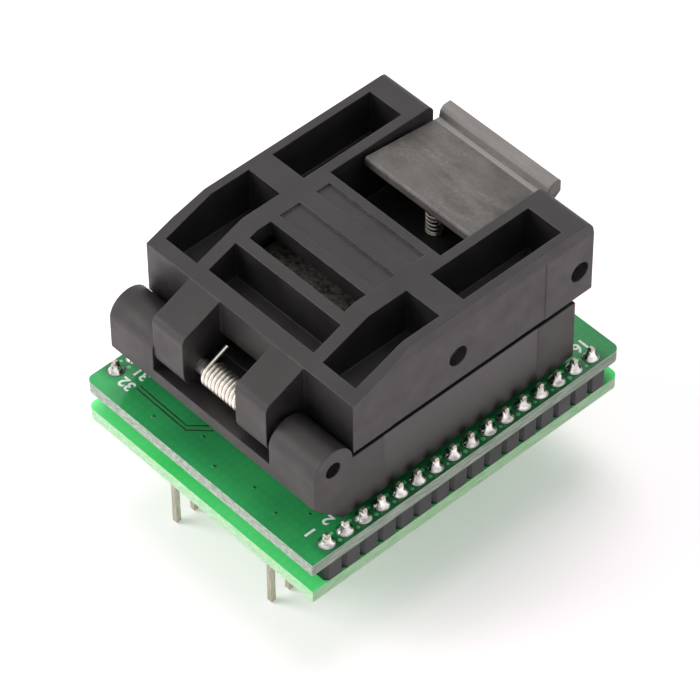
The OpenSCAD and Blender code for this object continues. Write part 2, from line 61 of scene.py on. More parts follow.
def add(tree, kind, links=None, **settings):
    """Adds a node: links holds a value or a socket for each input, by name or number."""
    made = tree.nodes.new(kind)
    for name, value in settings.items():
        setattr(made, name, value)
    for name, value in (links or {}).items():
        if isinstance(value, bpy.types.NodeSocket):
            tree.links.new(value, made.inputs[name])
        else:
            made.inputs[name].default_value = value
    return made


def new_finish(name, **sockets):
    """A material with one Principled shader, its uniform values set on the sockets."""
    finish = bpy.data.materials.new(name)
    finish.use_nodes = True
    tree = finish.node_tree
    tree.nodes.clear()
    values = {label.replace("_", " "): value for label, value in sockets.items()}
    shader = add(tree, "ShaderNodeBsdfPrincipled", values)
    add(tree, "ShaderNodeOutputMaterial", {"Surface": shader.outputs[0]})
    place = add(tree, "ShaderNodeTexCoord").outputs["Object"]
    return finish, tree, shader, place


def per_metre(size_mm):
    """Texture scale for a grain of this size, on coordinates in metres."""
    return 1000 / size_mm


def cloud(tree, place, size_mm, low, high, detail=3.0, distortion=0.0):
    """Mottling of a real grain size, spread to run from 0 to 1 between two levels."""
    noise = add(tree, "ShaderNodeTexNoise", {"Vector": place, "Scale": per_metre(size_mm),
                                             "Detail": detail, "Distortion": distortion})
    spread = add(tree, "ShaderNodeMapRange", {"Value": noise.outputs["Fac"],
                                              "From Min": low, "From Max": high})
    return spread.outputs[0]


def tint(tree, shader, share, *tones):
    """Runs a finish between two sRGB tones, or from the colour it has to one tone."""
    base = shader.inputs["Base Color"]
    first = base.links[0].from_socket if len(tones) == 1 else linear(tones[0])
    mixed = add(tree, "ShaderNodeMix", {0: share, 6: first, 7: linear(tones[-1])},
                data_type="RGBA")
    tree.links.new(mixed.outputs[2], base)


def solder_mask(name, dark, light, peel_mm):
    """Screened gloss mask: even green with a faint cloth weave and orange peel."""
    finish, tree, shader, place = new_finish(name, Roughness=0.16, IOR=1.52)
    drift = cloud(tree, place, 14, 0.35, 0.65)
    # A wave node's band is about a third of its size, so the yarns lie 1 mm apart. The real
    # cloth is about half that; it is drawn coarse enough to show.
    yarn = {"Vector": place, "Scale": per_metre(3.2), "Distortion": 1.5}
    warp = add(tree, "ShaderNodeTexWave", yarn, bands_direction="X").outputs["Fac"]
    weft = add(tree, "ShaderNodeTexWave", yarn, bands_direction="Y").outputs["Fac"]
    weave = add(tree, "ShaderNodeMath", {0: warp, 1: weft}, operation="MULTIPLY")
    tone = add(tree, "ShaderNodeMath", {0: weave.outputs[0], 1: 0.18, 2: drift},
               operation="MULTIPLY_ADD")
    tint(tree, shader, tone.outputs[0], dark, light)
    skin = add(tree, "ShaderNodeTexNoise", {"Vector": place, "Scale": per_metre(0.7),
                                            "Detail": 2.0})
    bump = add(tree, "ShaderNodeBump", {"Height": skin.outputs["Fac"], "Strength": 0.25,
                                        "Distance": peel_mm * MM})
    tree.links.new(bump.outputs[0], shader.inputs["Normal"])
    return finish


def sawn_laminate(name, resin, glass):
    """Cut edge of the board: plies of cloth, each with the ends of its yarns."""
    finish, tree, shader, place = new_finish(name, Roughness=0.62)
    stretched = add(tree, "ShaderNodeMapping", {"Vector": place, "Scale": (1, 0.22, 1.4)})
    yarns = cloud(tree, stretched.outputs[0], 0.42, 0.3, 0.7, detail=6)
    # Plies are drawn 0.5 mm apart, wider than the real 0.2 mm, so that they show
    plies = add(tree, "ShaderNodeTexWave",
                {"Vector": place, "Scale": per_metre(1.7), "Distortion": 5.0,
                 "Detail": 3.0, "Detail Scale": 2.5}, bands_direction="Z")
    share = add(tree, "ShaderNodeMath", {0: plies.outputs["Fac"], 1: 0.25, 2: yarns},
                operation="MULTIPLY_ADD").outputs[0]
    share = add(tree, "ShaderNodeMath", {0: share, 1: 0.8}, operation="MULTIPLY").outputs[0]
    tint(tree, shader, share, resin, glass)
    bump = add(tree, "ShaderNodeBump", {"Height": share, "Strength": 0.5,
                                        "Distance": 0.04 * MM})
    tree.links.new(bump.outputs[0], shader.inputs["Normal"])
    return finish


def finish_board(node, mask, edge):
    """Mask on the two faces of a board, bare laminate on its edges and in its holes."""
    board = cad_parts[node]
    board.data.materials.clear()
    board.data.materials.append(mask)
    board.data.materials.append(edge)
    for face in board.data.polygons:
        face.material_index = 0 if abs(face.normal.z) > 0.5 else 1


upper_mask = solder_mask("solder_mask_over_copper_pour", "#23854a", "#35a45b", 0.006)
# The lower board's mask is painted far brighter than the upper one's: a painted glow for light
# passing through its laminate, which also lifts the shade between the boards
lower_mask_painted_bright = solder_mask("solder_mask_on_glass_epoxy_painted_glow", "#43ea6e", "#70fb97", 0.006)
upper_edge = sawn_laminate("sawn_glass_epoxy_grey", "#7b8c7c", "#c4cdc0")
lower_edge = sawn_laminate("sawn_glass_epoxy_green", "#93d297", "#cfeac8")

# Beside the socket's side walls, along the pad rows, the mask is painted darker: painted shade of
# the wall
band_from, band_full, wall_shade_share = 15.2 * MM, 16.2 * MM, 0.7
band_end, band_whole = 20.9 * MM, 19.6 * MM
tree = upper_mask.node_tree
shader = tree.nodes["Principled BSDF"]
spot = add(tree, "ShaderNodeSeparateXYZ", {0: add(tree, "ShaderNodeTexCoord").outputs["Object"]})
outward = add(tree, "ShaderNodeMath", {0: spot.outputs["X"]}, operation="ABSOLUTE")
lengthwise = add(tree, "ShaderNodeMath", {0: spot.outputs["Y"]}, operation="ABSOLUTE")
beside = add(tree, "ShaderNodeMapRange",
             {"Value": outward.outputs[0], "From Min": band_from, "From Max": band_full,
              "To Max": wall_shade_share})
fading = add(tree, "ShaderNodeMapRange", {"Value": lengthwise.outputs[0],
                                          "From Min": band_end, "From Max": band_whole})
wall_shade_band = add(tree, "ShaderNodeMath", {0: beside.outputs[0], 1: fading.outputs[0]},
               operation="MULTIPLY")
tint(tree, shader, wall_shade_band.outputs[0], "#16552f")

finish_board("upper_board", upper_mask, upper_edge)
finish_board("lower_board", lower_mask_painted_bright, lower_edge)

# ---------------------------------------------------------------- artwork of the upper board
# What the board maker etched and printed: tinned pads with a dark clearance ring in the
# copper pour, plugged vias, a pair of traces beside the hinge, and white pin numbers.

pins_low, pins_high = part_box("header_pins_right")
pin_side = pins_high.x - pins_low.x
row_x = (pins_low.x + pins_high.x) / 2
row_count = 16
row_pitch = (pins_high.y - pins_low.y - pin_side) / (row_count - 1)


def in_scene(name, mesh):
    """An object at the origin, whose place is in its mesh."""
    piece = bpy.data.objects.new(name, mesh)
    scene.collection.objects.link(piece)
    return piece


def turned(name, profile_mm, sides=28):
    """A closed solid of revolution about Z from (radius, height) points on its outline."""
    shape = bmesh.new()
    turns = [2 * math.pi * k / sides for k in range(sides)]
    rings = []
    for r, z in ((r * MM, z * MM) for r, z in profile_mm):
        if r == 0:
            rings.append([shape.verts.new((0, 0, z))])
        else:
            rings.append([shape.verts.new((r * math.cos(a), r * math.sin(a), z)) for a in turns])
    for low, high in zip(rings, rings[1:]):
        for k in range(sides):
            n = (k + 1) % sides
            corners = [low[k % len(low)], low[n % len(low)],
                       high[n % len(high)], high[k % len(high)]]
            shape.faces.new(list(dict.fromkeys(corners)))
    bmesh.ops.recalc_face_normals(shape, faces=shape.faces)
    mesh = bpy.data.meshes.new(name)
    shape.to_mesh(mesh)
    shape.free()
    return in_scene(name, mesh)


def new_tree(name, sockets):
    """A Geometry Nodes tree with a geometry input, named inputs and one output."""
    tree = bpy.data.node_groups.new(name, "GeometryNodeTree")
    tree.interface.new_socket("Places", in_out="INPUT", socket_type="NodeSocketGeometry")
    for label, kind in sockets.items():
        tree.interface.new_socket(label, in_out="INPUT", socket_type="NodeSocket" + kind)
    tree.interface.new_socket("Result", in_out="OUTPUT", socket_type="NodeSocketGeometry")
    return tree, tree.nodes.new("NodeGroupInput").outputs


def end_tree(tree, geometry, finish):
    """Closes a tree with Realize Instances, smooth shading and Set Material."""
    real = add(tree, "GeometryNodeRealizeInstances", {0: geometry})
    smooth = add(tree, "GeometryNodeSetShadeSmooth", {0: real.outputs[0]})
    dressed = add(tree, "GeometryNodeSetMaterial", {0: smooth.outputs[0], "Material": finish})
    add(tree, "NodeGroupOutput", {0: dressed.outputs[0]})


def grown(name, tree, points, edges, values):
    """Runs a tree on points and edges, and returns its result as a plain mesh piece."""
    seed = bpy.data.meshes.new(name + "_places")
    seed.from_pydata(points, edges, [])
    maker = in_scene(name + "_maker", seed)
    modifier = maker.modifiers.new("maker", "NODES")
    modifier.node_group = tree
    for socket in tree.interface.items_tree:
        if socket.in_out == "INPUT" and socket.name in values:
            modifier[socket.identifier] = values[socket.name]
    graph = bpy.context.evaluated_depsgraph_get()
    mesh = bpy.data.meshes.new_from_object(maker.evaluated_get(graph), depsgraph=graph)
    mesh.name = name
    bpy.data.objects.remove(maker)
    return in_scene(name, mesh)


# One like piece on every place, turned and shrunk a little at random
full_turn = 6.283
row_tree, given = new_tree("like_pieces_on_places", {"Piece": "Object", "Spread": "Float",
                                                     "Seed": "Int", "Finish": "Material"})
source = add(row_tree, "GeometryNodeObjectInfo", {"Object": given["Piece"]},
             transform_space="ORIGINAL")
spin = add(row_tree, "FunctionNodeRandomValue",
           {0: (0.0, 0.0, 0.0), 1: (0.0, 0.0, full_turn), "Seed": given["Seed"]},
           data_type="FLOAT_VECTOR")
smallest = add(row_tree, "ShaderNodeMath", {0: 1.0, 1: given["Spread"]}, operation="SUBTRACT")
swell = add(row_tree, "FunctionNodeRandomValue",
            {2: smallest.outputs[0], 3: 1.0, "Seed": given["Seed"]}, data_type="FLOAT")
put = add(row_tree, "GeometryNodeInstanceOnPoints",
          {"Points": given["Places"], "Instance": source.outputs["Geometry"],
           "Rotation": spin.outputs[0], "Scale": swell.outputs[1]})
end_tree(row_tree, put.outputs[0], given["Finish"])


def both_rows(x, z):
    """The 32 places of two rows of joints, the left row first."""
    return [(side * x, (i - (row_count - 1) / 2) * row_pitch, z)
            for side in (-1, 1) for i in range(row_count)]


def repeated(name, profile_mm, places, spread, seed, finish, sides=28):
    """Turns one form and sets a like piece on every place."""
    form = turned(name + "_form", profile_mm, sides)
    piece = grown(name, row_tree, places, [],
                  {"Piece": form, "Spread": spread, "Seed": seed, "Finish": finish})
    bpy.data.objects.remove(form)
    return piece


def over_laminate():
    """Mask where the copper is etched away: the same gloss, nearly black green."""
    finish, tree, shader, place = new_finish("solder_mask_over_bare_laminate",
                                             Roughness=0.2, IOR=1.52)
    tint(tree, shader, cloud(tree, place, 2.0, 0.3, 0.7), "#0b3d1b", "#12502a")
    return finish


def tinned_pad():
    """Hot-air-levelled tin on the pads: bright, slightly wavy."""
    finish, tree, shader, place = new_finish("hot_air_levelled_tin", Metallic=1.0)
    share = cloud(tree, place, 0.4, 0.3, 0.7)
    tint(tree, shader, share, "#b9b9b4", "#dededa")
    rough = add(tree, "ShaderNodeMapRange", {"Value": share, "To Min": 0.22, "To Max": 0.38})
    tree.links.new(rough.outputs[0], shader.inputs["Roughness"])
    return finish


def via_mouth():
    """Resin in the drilled hole: dark brown, dull."""
    finish, tree, shader, place = new_finish("resin_in_drilled_via", Roughness=0.45)
    tint(tree, shader, cloud(tree, place, 0.1, 0.3, 0.7), "#2a1c0e", "#5a4326")
    return finish


bare_mask = over_laminate()
lit_mask = solder_mask("solder_mask_over_pour_islands", "#4db272", "#6cc88c", 0.004)
pad_tin = tinned_pad()

# Clearance rings and pads: disks 2.0 and 1.86 mm across
ring_profile = ((0, 0), (1.0, 0), (1.0, 0.012), (0, 0.012))
pad_profile = ((0, 0), (0.93, 0), (0.9, 0.03), (0, 0.03))
for name, profile, finish, slot in (
        ("pad_clearance_rings", ring_profile, bare_mask, "upper_laminate"),
        ("tinned_pads", pad_profile, pad_tin, "solder")):
    piece = repeated(name, profile, both_rows(row_x, deck), 0.0, 1, finish)
    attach(piece, "base")

# Islands of the copper pour between the pads, paler where the mask lies over metal
island_profile = ((0, 0), (0.3, 0), (0.27, 0.012), (0, 0.014))
island_offset = 0.62 * MM
island_places = [(side * (row_x + across), (i - row_count / 2 + 1) * row_pitch, deck)
                 for side in (-1, 1) for i in range(row_count - 1)
                 for across in (-island_offset, island_offset)]
islands = repeated("pour_islands", island_profile, island_places, 0.35, 9, lit_mask, sides=7)
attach(islands, "base")

# Plugged vias: a faint ring of copper under the mask, round a small brown mouth
via_ring_profile = ((0, 0), (0.27, 0), (0.24, 0.02), (0, 0.02))
via_mouth_profile = ((0, 0.015), (0.14, 0.015), (0.14, 0.026), (0, 0.026))
via_places = [(x * MM, y * MM, deck) for x, y in
              ((-8.8, -20.5), (-3.1, -18.6), (0.8, -20.5),
               (5.8, -19.45), (9.9, -20.2), (12.4, -17.7))]
for name, profile, finish in (("plugged_via_rings", via_ring_profile, upper_mask),
                              ("plugged_via_mouths", via_mouth_profile, via_mouth())):
    piece = repeated(name, profile, via_places, 0.1, 4, finish, sides=20)
    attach(piece, "base")

# Etched gaps: flat ribbons drawn along a path, partly sunk in the mask
gap_width, gap_depth, gap_lift = 0.2 * MM, 0.02 * MM, 0.004 * MM
ribbon_tree, given = new_tree("ribbon_along_path", {"Width": "Float", "Finish": "Material"})
path = add(ribbon_tree, "GeometryNodeMeshToCurve", {0: given["Places"]})
section = add(ribbon_tree, "GeometryNodeCurvePrimitiveQuadrilateral",
              {"Width": given["Width"], "Height": gap_depth}, mode="RECTANGLE")
ribbon = add(ribbon_tree, "GeometryNodeCurveToMesh",
             {0: path.outputs[0], 1: section.outputs[0], "Fill Caps": True})
end_tree(ribbon_tree, ribbon.outputs[0], given["Finish"])
routes = [[(-13.0, -19.24), (-5.0, -19.34), (-2.96, -17.3)],
          [(-13.0, -18.73), (-5.4, -18.87), (-3.8, -17.16)]]
points, edges = [], []
for route in routes:
    edges += [(len(points) + k, len(points) + k + 1) for k in range(len(route) - 1)]
    points += [(x * MM, y * MM, deck + gap_lift) for x, y in route]
gaps = grown("etched_gaps", ribbon_tree, points, edges, {"Width": gap_width, "Finish": bare_mask})
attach(gaps, "base")


def legend_ink():
    """Screen-printed epoxy ink: matt white, a little thin where the mesh starved it."""
    finish, tree, shader, place = new_finish("screen_printed_white_ink", Roughness=0.55)
    tint(tree, shader, cloud(tree, place, 0.25, 0.25, 0.6), "#dbe6db", "#fbfdfa")
    return finish


# Pin numbers at the ends of the rows: text, place on the board in mm, and turn
ink = legend_ink()
digit_height, stroke_growth, ink_height = 1.9 * MM, 0.05 * MM, 0.008 * MM
for words, x, y, turn in (("1", 14.3, -19.3, 180), ("2", 14.3, -16.8, 180),
                          ("32", -14.2, -19.5, 180), ("31", -14.2, -17.4, 180),
                          ("16", 14.6, 19.3, -90)):
    name = "pin_number_" + words
    outline = bpy.data.curves.new(name, "FONT")
    outline.body = words
    outline.size = digit_height
    outline.align_x, outline.align_y = "CENTER", "CENTER"
    outline.extrude = ink_height
    outline.offset = stroke_growth
    drawn = in_scene(name + "_outline", outline)
    graph = bpy.context.evaluated_depsgraph_get()
    mesh = bpy.data.meshes.new_from_object(drawn.evaluated_get(graph), depsgraph=graph)
    bpy.data.objects.remove(drawn)
    facing = Euler((0, 0, math.radians(turn))).to_matrix().to_4x4()
    mesh.transform(Matrix.Translation((x * MM, y * MM, deck + ink_height)) @ facing)
    mesh.materials.clear()
    mesh.materials.append(ink)
    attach(in_scene(name, mesh), "base")

# ---------------------------------------------------------------- pin strips and pins
# Four strips of black glass-filled nylon, moulded with a V notch between pins, each
# holding 16 square brass pins drawn to 0.64 mm and plated with bright tin.


def edge_of(tree, radius_mm):
    """Normal with softened edges, and how close the surface is to an edge, 0 to 1."""
    soft = add(tree, "ShaderNodeBevel", {"Radius": radius_mm * MM}, samples=6)
    flat = add(tree, "ShaderNodeNewGeometry").outputs["True Normal"]
    match = add(tree, "ShaderNodeVectorMath", {0: soft.outputs[0], 1: flat},
                operation="DOT_PRODUCT")
    near = add(tree, "ShaderNodeMapRange", {"Value": match.outputs["Value"],
                                            "From Min": 1.0, "From Max": 0.72})
    return soft.outputs[0], near.outputs[0]


def moulded(name, dark, light, edge_wear_and_highlight, grain_mm, grain_depth_mm, rough, edge_mm, **sockets):
    """Injection-moulded thermoplastic: fine spark grain, cloudy tone, and paler edges, partly
    wear and partly a painted highlight.
    """
    finish, tree, shader, place = new_finish(name, **sockets)
    soft, near = edge_of(tree, edge_mm)
    tint(tree, shader, cloud(tree, place, 5.0, 0.3, 0.7, detail=5), dark, light)
    # Paler tone near edges, in patches: partly wear, partly a painted highlight along the edges
    wear_and_highlight_share = add(tree, "ShaderNodeMath", {0: near, 1: cloud(tree, place, 1.2, 0.3, 0.7)},
                 operation="MULTIPLY")
    tint(tree, shader, wear_and_highlight_share.outputs[0], edge_wear_and_highlight)
    # Spark grain is finer than this in the real tool: it is drawn coarse enough to show
    grain = add(tree, "ShaderNodeTexNoise", {"Vector": place, "Scale": per_metre(grain_mm),
                                             "Detail": 3.0, "Roughness": 0.6})
    bump = add(tree, "ShaderNodeBump", {"Height": grain.outputs["Fac"], "Strength": 0.6,
                                        "Distance": grain_depth_mm * MM, "Normal": soft})
    tree.links.new(bump.outputs[0], shader.inputs["Normal"])
    shine = add(tree, "ShaderNodeMapRange",
                {"Value": cloud(tree, place, 2.6, 0.25, 0.75, detail=6),
                 "To Min": rough - 0.09, "To Max": rough + 0.09})
    tree.links.new(shine.outputs[0], shader.inputs["Roughness"])
    return finish, tree, shader, place


def dress(finish, *nodes):
    """Gives CAD nodes their finish."""
    for node in nodes:
        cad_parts[node].data.materials.clear()
        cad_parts[node].data.materials.append(finish)


def tinned_wire():
    """Square brass wire, tinned: warm grey with faint draw lines, coarse enough to show."""
    finish, tree, shader, place = new_finish("tin_plated_drawn_brass", Metallic=1.0)
    soft = add(tree, "ShaderNodeBevel", {"Radius": 0.06 * MM}, samples=6)
    lines = add(tree, "ShaderNodeMapping", {"Vector": place, "Scale": (1, 1, 0.08)})
    share = cloud(tree, lines.outputs[0], 0.12, 0.3, 0.7)
    tint(tree, shader, share, "#a39c8c", "#d3cdbd")
    bump = add(tree, "ShaderNodeBump", {"Height": share, "Strength": 0.3,
                                        "Distance": 0.01 * MM, "Normal": soft.outputs[0]})
    tree.links.new(bump.outputs[0], shader.inputs["Normal"])
    rough = add(tree, "ShaderNodeMapRange", {"Value": share, "To Min": 0.24, "To Max": 0.4})
    tree.links.new(rough.outputs[0], shader.inputs["Roughness"])
    return finish


strip_nylon = moulded("moulded_black_nylon", "#101011", "#191a1b", "#3c3c3d",
                      0.2, 0.015, 0.46, 0.12)[0]
dress(strip_nylon, "header_strip_left", "header_strip_right", "dip_strip_left", "dip_strip_right")
dress(tinned_wire(), "header_pins_left", "header_pins_right", "dip_pins_left", "dip_pins_right")

# ---------------------------------------------------------------- soldered joints
# Each pin is wave-soldered: the metal climbs the pin in a hollow cone that wets the
# whole pad, bright and a little uneven from one joint to the next. The pin's tip shows.


def bright_solder():
    """Tin-lead solder: mirror-like in some patches, duller in others; its tone runs from dark
    grey to near white in patches, painted dark reflections of the black socket and board.
    """
    finish, tree, shader, place = new_finish("wave_solder_with_painted_reflections", Metallic=1.0)
    flow = cloud(tree, place, 1.1, 0.35, 0.65, detail=1)
    # Dark grey to near white in patches: painted dark reflections of the black socket and green
    # board
    tint(tree, shader, flow, "#9d9b98", "#f2f0ec")
    rough = add(tree, "ShaderNodeMapRange", {"Value": flow, "To Min": 0.08, "To Max": 0.2})
    tree.links.new(rough.outputs[0], shader.inputs["Roughness"])
    bump = add(tree, "ShaderNodeBump", {"Height": flow, "Strength": 0.5,
                                        "Distance": 0.09 * MM})
    tree.links.new(bump.outputs[0], shader.inputs["Normal"])
    return finish


joint_solder = bright_solder()
joint_profile = ((0, 0.01), (0.9, 0.01), (0.91, 0.05), (0.84, 0.14), (0.73, 0.28), (0.63, 0.46),
                 (0.55, 0.67), (0.49, 0.9), (0.43, 1.08), (0.36, 1.17), (0, 1.18))
plug_row_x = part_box("dip_pins_right")[1].x - pin_side / 2
for name, node, up_or_down, x, z in (
        ("solder_joints_top", "solder_top", 1, row_x, deck),
        ("solder_joints_underside", "solder_underside", -1, row_x, lower_low.z),
        ("solder_joints_plug_rows", "solder_dip", 1, plug_row_x, lower_high.z)):
    profile = [(r, up_or_down * height) for r, height in joint_profile]
    joints = repeated(name, profile, both_rows(x, z), 0.07, 11, joint_solder)
    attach(joints, "base")
    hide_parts(node)
dress(joint_solder, "solder_socket")

# ---------------------------------------------------------------- socket base, nest and retainer
# The base is moulded in black glass-filled polyetherimide with a fine spark grain. The
# middle of each side wall was a polished slide in the mould, so it is smoother.

slide_middle, slide_half, slide_rough = 0.7 * MM, 11.0 * MM, 0.3
wall_from, wall_top = 15.5 * MM, deck + 9.3 * MM
socket_plastic, tree, shader, place = moulded(
    "moulded_black_polyetherimide", "#121111", "#1f1d1e", "#565352",
    0.17, 0.06, 0.48, 0.2, IOR=1.66, Specular_Tint=linear("#fff8f7"))
spot = add(tree, "ShaderNodeSeparateXYZ", {0: place})
along = add(tree, "ShaderNodeMath", {0: spot.outputs["Y"], 1: slide_middle, 2: slide_half},
            operation="COMPARE")
outward = add(tree, "ShaderNodeMath", {0: spot.outputs["X"]}, operation="ABSOLUTE")
on_side = add(tree, "ShaderNodeMath", {0: outward.outputs[0], 1: wall_from},
              operation="GREATER_THAN")
below_lid = add(tree, "ShaderNodeMath", {0: spot.outputs["Z"], 1: wall_top},
                operation="LESS_THAN")
polished = add(tree, "ShaderNodeMath", {0: along.outputs[0], 1: on_side.outputs[0]},
               operation="MULTIPLY")
polished = add(tree, "ShaderNodeMath", {0: polished.outputs[0], 1: below_lid.outputs[0]},
               operation="MULTIPLY")
shine = shader.inputs["Roughness"].links[0].from_socket
smoother = add(tree, "ShaderNodeMix", {0: polished.outputs[0], 2: shine, 3: slide_rough},
               data_type="FLOAT")
tree.links.new(smoother.outputs[0], shader.inputs["Roughness"])
dress(socket_plastic, "socket_base", "contact_retainer", "nest")

# ---------------------------------------------------------------- contacts
# Thirty-two blades, stamped from beryllium copper strip and flashed with gold. Each is
# pushed up into its slot in the base and stopped by the retainer.


def stamped_contact():
    """Gold flash on stamped strip: warm, a little uneven in tone."""
    finish, tree, shader, place = new_finish("gold_flashed_beryllium_copper",
                                             Metallic=1.0, Roughness=0.28)
    tint(tree, shader, cloud(tree, place, 0.3, 0.3, 0.7), "#b98b3e", "#e3c077")
    return finish


dress(stamped_contact(), "contacts_front", "contacts_back", "contacts_left", "contacts_right")

# ---------------------------------------------------------------- pins and pressure plate
# Ground stainless pins, pushed in from the side; the pressure plate is die-cast light
# alloy, blasted to a coarse grey.


def ground_steel():
    """Centreless-ground stainless: fine marks round the pin, coarse enough to show."""
    finish, tree, shader, place = new_finish("ground_stainless_steel", Metallic=1.0)
    rings = add(tree, "ShaderNodeMapping", {"Vector": place, "Scale": (1, 0.1, 0.1)})
    share = cloud(tree, rings.outputs[0], 0.15, 0.3, 0.7)
    tint(tree, shader, share, "#8e8c88", "#bcbab5")
    rough = add(tree, "ShaderNodeMapRange", {"Value": share, "To Min": 0.25, "To Max": 0.42})
    tree.links.new(rough.outputs[0], shader.inputs["Roughness"])
    return finish


def blasted_casting():
    """Bead-blasted light alloy: grey, rough, with small bright flecks and pits."""
    finish, tree, shader, place = new_finish("bead_blasted_die_casting", Metallic=0.35)
    pits = cloud(tree, place, 0.5, 0.35, 0.65, detail=6)
    flecks = add(tree, "ShaderNodeTexVoronoi", {"Vector": place, "Scale": per_metre(0.45)})
    lit = add(tree, "ShaderNodeMath", {0: flecks.outputs["Distance"], 1: 0.35, 2: pits},
              operation="MULTIPLY_ADD").outputs[0]
    tint(tree, shader, lit, "#34322f", "#6c6963")
    rough = add(tree, "ShaderNodeMapRange", {"Value": pits, "To Min": 0.5, "To Max": 0.8})
    tree.links.new(rough.outputs[0], shader.inputs["Roughness"])
    bump = add(tree, "ShaderNodeBump", {"Height": lit, "Strength": 0.8,
                                        "Distance": 0.08 * MM})
    tree.links.new(bump.outputs[0], shader.inputs["Normal"])
    return finish


dress(ground_steel(), "hinge_pin", "pressure_plate_pin", "latch_pin")
dress(blasted_casting(), "pressure_plate")

# ---------------------------------------------------------------- springs
# Cold-wound stainless wire. The torsion spring sits on the hinge pin with an arm under
# the lid; the compression springs have closed end turns.


def spring_wire():
    """Bright-drawn stainless wire: pale, softly uneven."""
    finish, tree, shader, place = new_finish("bright_drawn_stainless_wire", Metallic=1.0)
    share = cloud(tree, place, 1.2, 0.3, 0.7)
    tint(tree, shader, share, "#e2dccf", "#f3efe6")
    rough = add(tree, "ShaderNodeMapRange", {"Value": share, "To Min": 0.3, "To Max": 0.38})
    tree.links.new(rough.outputs[0], shader.inputs["Roughness"])
    return finish


wire_steel = spring_wire()

# Round wire along a path
wire_tree, given = new_tree("wire_along_path", {"Wire": "Float", "Finish": "Material"})
path = add(wire_tree, "GeometryNodeMeshToCurve", {0: given["Places"]})
half = add(wire_tree, "ShaderNodeMath", {0: given["Wire"], 1: 0.5}, operation="MULTIPLY")
section = add(wire_tree, "GeometryNodeCurvePrimitiveCircle",
              {"Resolution": 14, "Radius": half.outputs[0]})
tube = add(wire_tree, "GeometryNodeCurveToMesh",
           {0: path.outputs[0], 1: section.outputs[0], "Fill Caps": True})
end_tree(wire_tree, tube.outputs[0], given["Finish"])

# Torsion spring: angles in degrees round the hinge pin, the coil running from left to right.
# The arm and its first part of a turn swing with the lid; a gap keeps them off the rest.
torsion_wire, torsion_od, torsion_pitch = 0.48 * MM, 3.1 * MM, 0.53 * MM
arm_angle, arm_turn, lid_swing, turn_gap = 114, 156, 90, 8
last_angle = 360 * 11 + 245
arm_length, sill_share = 3.0 * MM, 0.97
coil_step, arm_step = 10, 12
coil_radius = (torsion_od - torsion_wire) / 2
coil_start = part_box("torsion_spring_arm")[0].x + torsion_wire / 2
hinge_low, hinge_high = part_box("hinge_pin")
axis_y, axis_z = (hinge_low.y + hinge_high.y) / 2, (hinge_low.z + hinge_high.z) / 2


def on_coil(angle):
    """Centre of the wire at an angle in degrees along the torsion spring."""
    a = math.radians(angle)
    return Vector((coil_start + torsion_pitch * (angle - arm_angle) / 360,
                   axis_y + coil_radius * math.cos(a), axis_z + coil_radius * math.sin(a)))


def leg_from(angle, sign, length):
    """The end of a straight leg that leaves the coil along its tangent."""
    a = math.radians(angle)
    return on_coil(angle) + sign * length * Vector((0, -math.sin(a), math.cos(a)))


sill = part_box("torsion_spring")[0].z + torsion_wire / 2
foot = on_coil(last_angle)
foot_length = (foot.z - sill) / -math.cos(math.radians(last_angle)) * sill_share
coil_angles = range(arm_angle + arm_turn + lid_swing + turn_gap, last_angle, coil_step)
arm_angles = range(arm_angle, arm_angle + arm_turn + 1, arm_step)
coil_route = [on_coil(a) for a in coil_angles] + [foot, leg_from(last_angle, 1, foot_length)]
arm_route = [leg_from(arm_angle, -1, arm_length)] + [on_coil(a) for a in arm_angles]
for name, node, body, route in (
        ("wound_torsion_spring", "torsion_spring", "base", coil_route),
        ("wound_torsion_arm", "torsion_spring_arm", "lid", arm_route)):
    edges = [(k, k + 1) for k in range(len(route) - 1)]
    piece = grown(name, wire_tree, [tuple(point) for point in route], edges,
                  {"Wire": torsion_wire, "Finish": wire_steel})
    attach(piece, body)
    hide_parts(node)

# Compression spring on each place: a spiral whose end turns lie nearly flat
press_tree, given = new_tree("compression_spring",
                             {"Outside": "Float", "Wire": "Float", "Length": "Float",
                              "Turns": "Float", "Finish": "Material"})
half = add(press_tree, "ShaderNodeMath", {0: given["Wire"], 1: 0.5},
           operation="MULTIPLY").outputs[0]
mean = add(press_tree, "ShaderNodeMath", {0: given["Outside"], 1: 0.5},
           operation="MULTIPLY").outputs[0]
mean = add(press_tree, "ShaderNodeMath", {0: mean, 1: half}, operation="SUBTRACT").outputs[0]
spiral = add(press_tree, "GeometryNodeCurveSpiral",
             {"Resolution": 28, "Rotations": given["Turns"],
              "Start Radius": mean, "End Radius": mean, "Height": 0.0})
travel = add(press_tree, "GeometryNodeSplineParameter").outputs["Factor"]
lift = add(press_tree, "ShaderNodeFloatCurve", {"Value": travel})
curve = lift.mapping.curves[0]
curve.points[0].location, curve.points[1].location = (0, 0), (1, 1)
for x, y in ((0.11, 0.06), (0.89, 0.94)):
    curve.points.new(x, y)
for point in curve.points:
    point.handle_type = "VECTOR"
lift.mapping.update()
room = add(press_tree, "ShaderNodeMath", {0: given["Length"], 1: given["Wire"]},
           operation="SUBTRACT").outputs[0]
height = add(press_tree, "ShaderNodeMath", {0: lift.outputs[0], 1: room, 2: half},
             operation="MULTIPLY_ADD").outputs[0]
offset = add(press_tree, "ShaderNodeCombineXYZ", {"Z": height}).outputs[0]
raised = add(press_tree, "GeometryNodeSetPosition", {0: spiral.outputs[0], "Offset": offset})
section = add(press_tree, "GeometryNodeCurvePrimitiveCircle", {"Resolution": 10, "Radius": half})
tube = add(press_tree, "GeometryNodeCurveToMesh",
           {0: raised.outputs[0], 1: section.outputs[0], "Fill Caps": True})
put = add(press_tree, "GeometryNodeInstanceOnPoints",
          {"Points": given["Places"], "Instance": tube.outputs[0]})
end_tree(press_tree, put.outputs[0], given["Finish"])

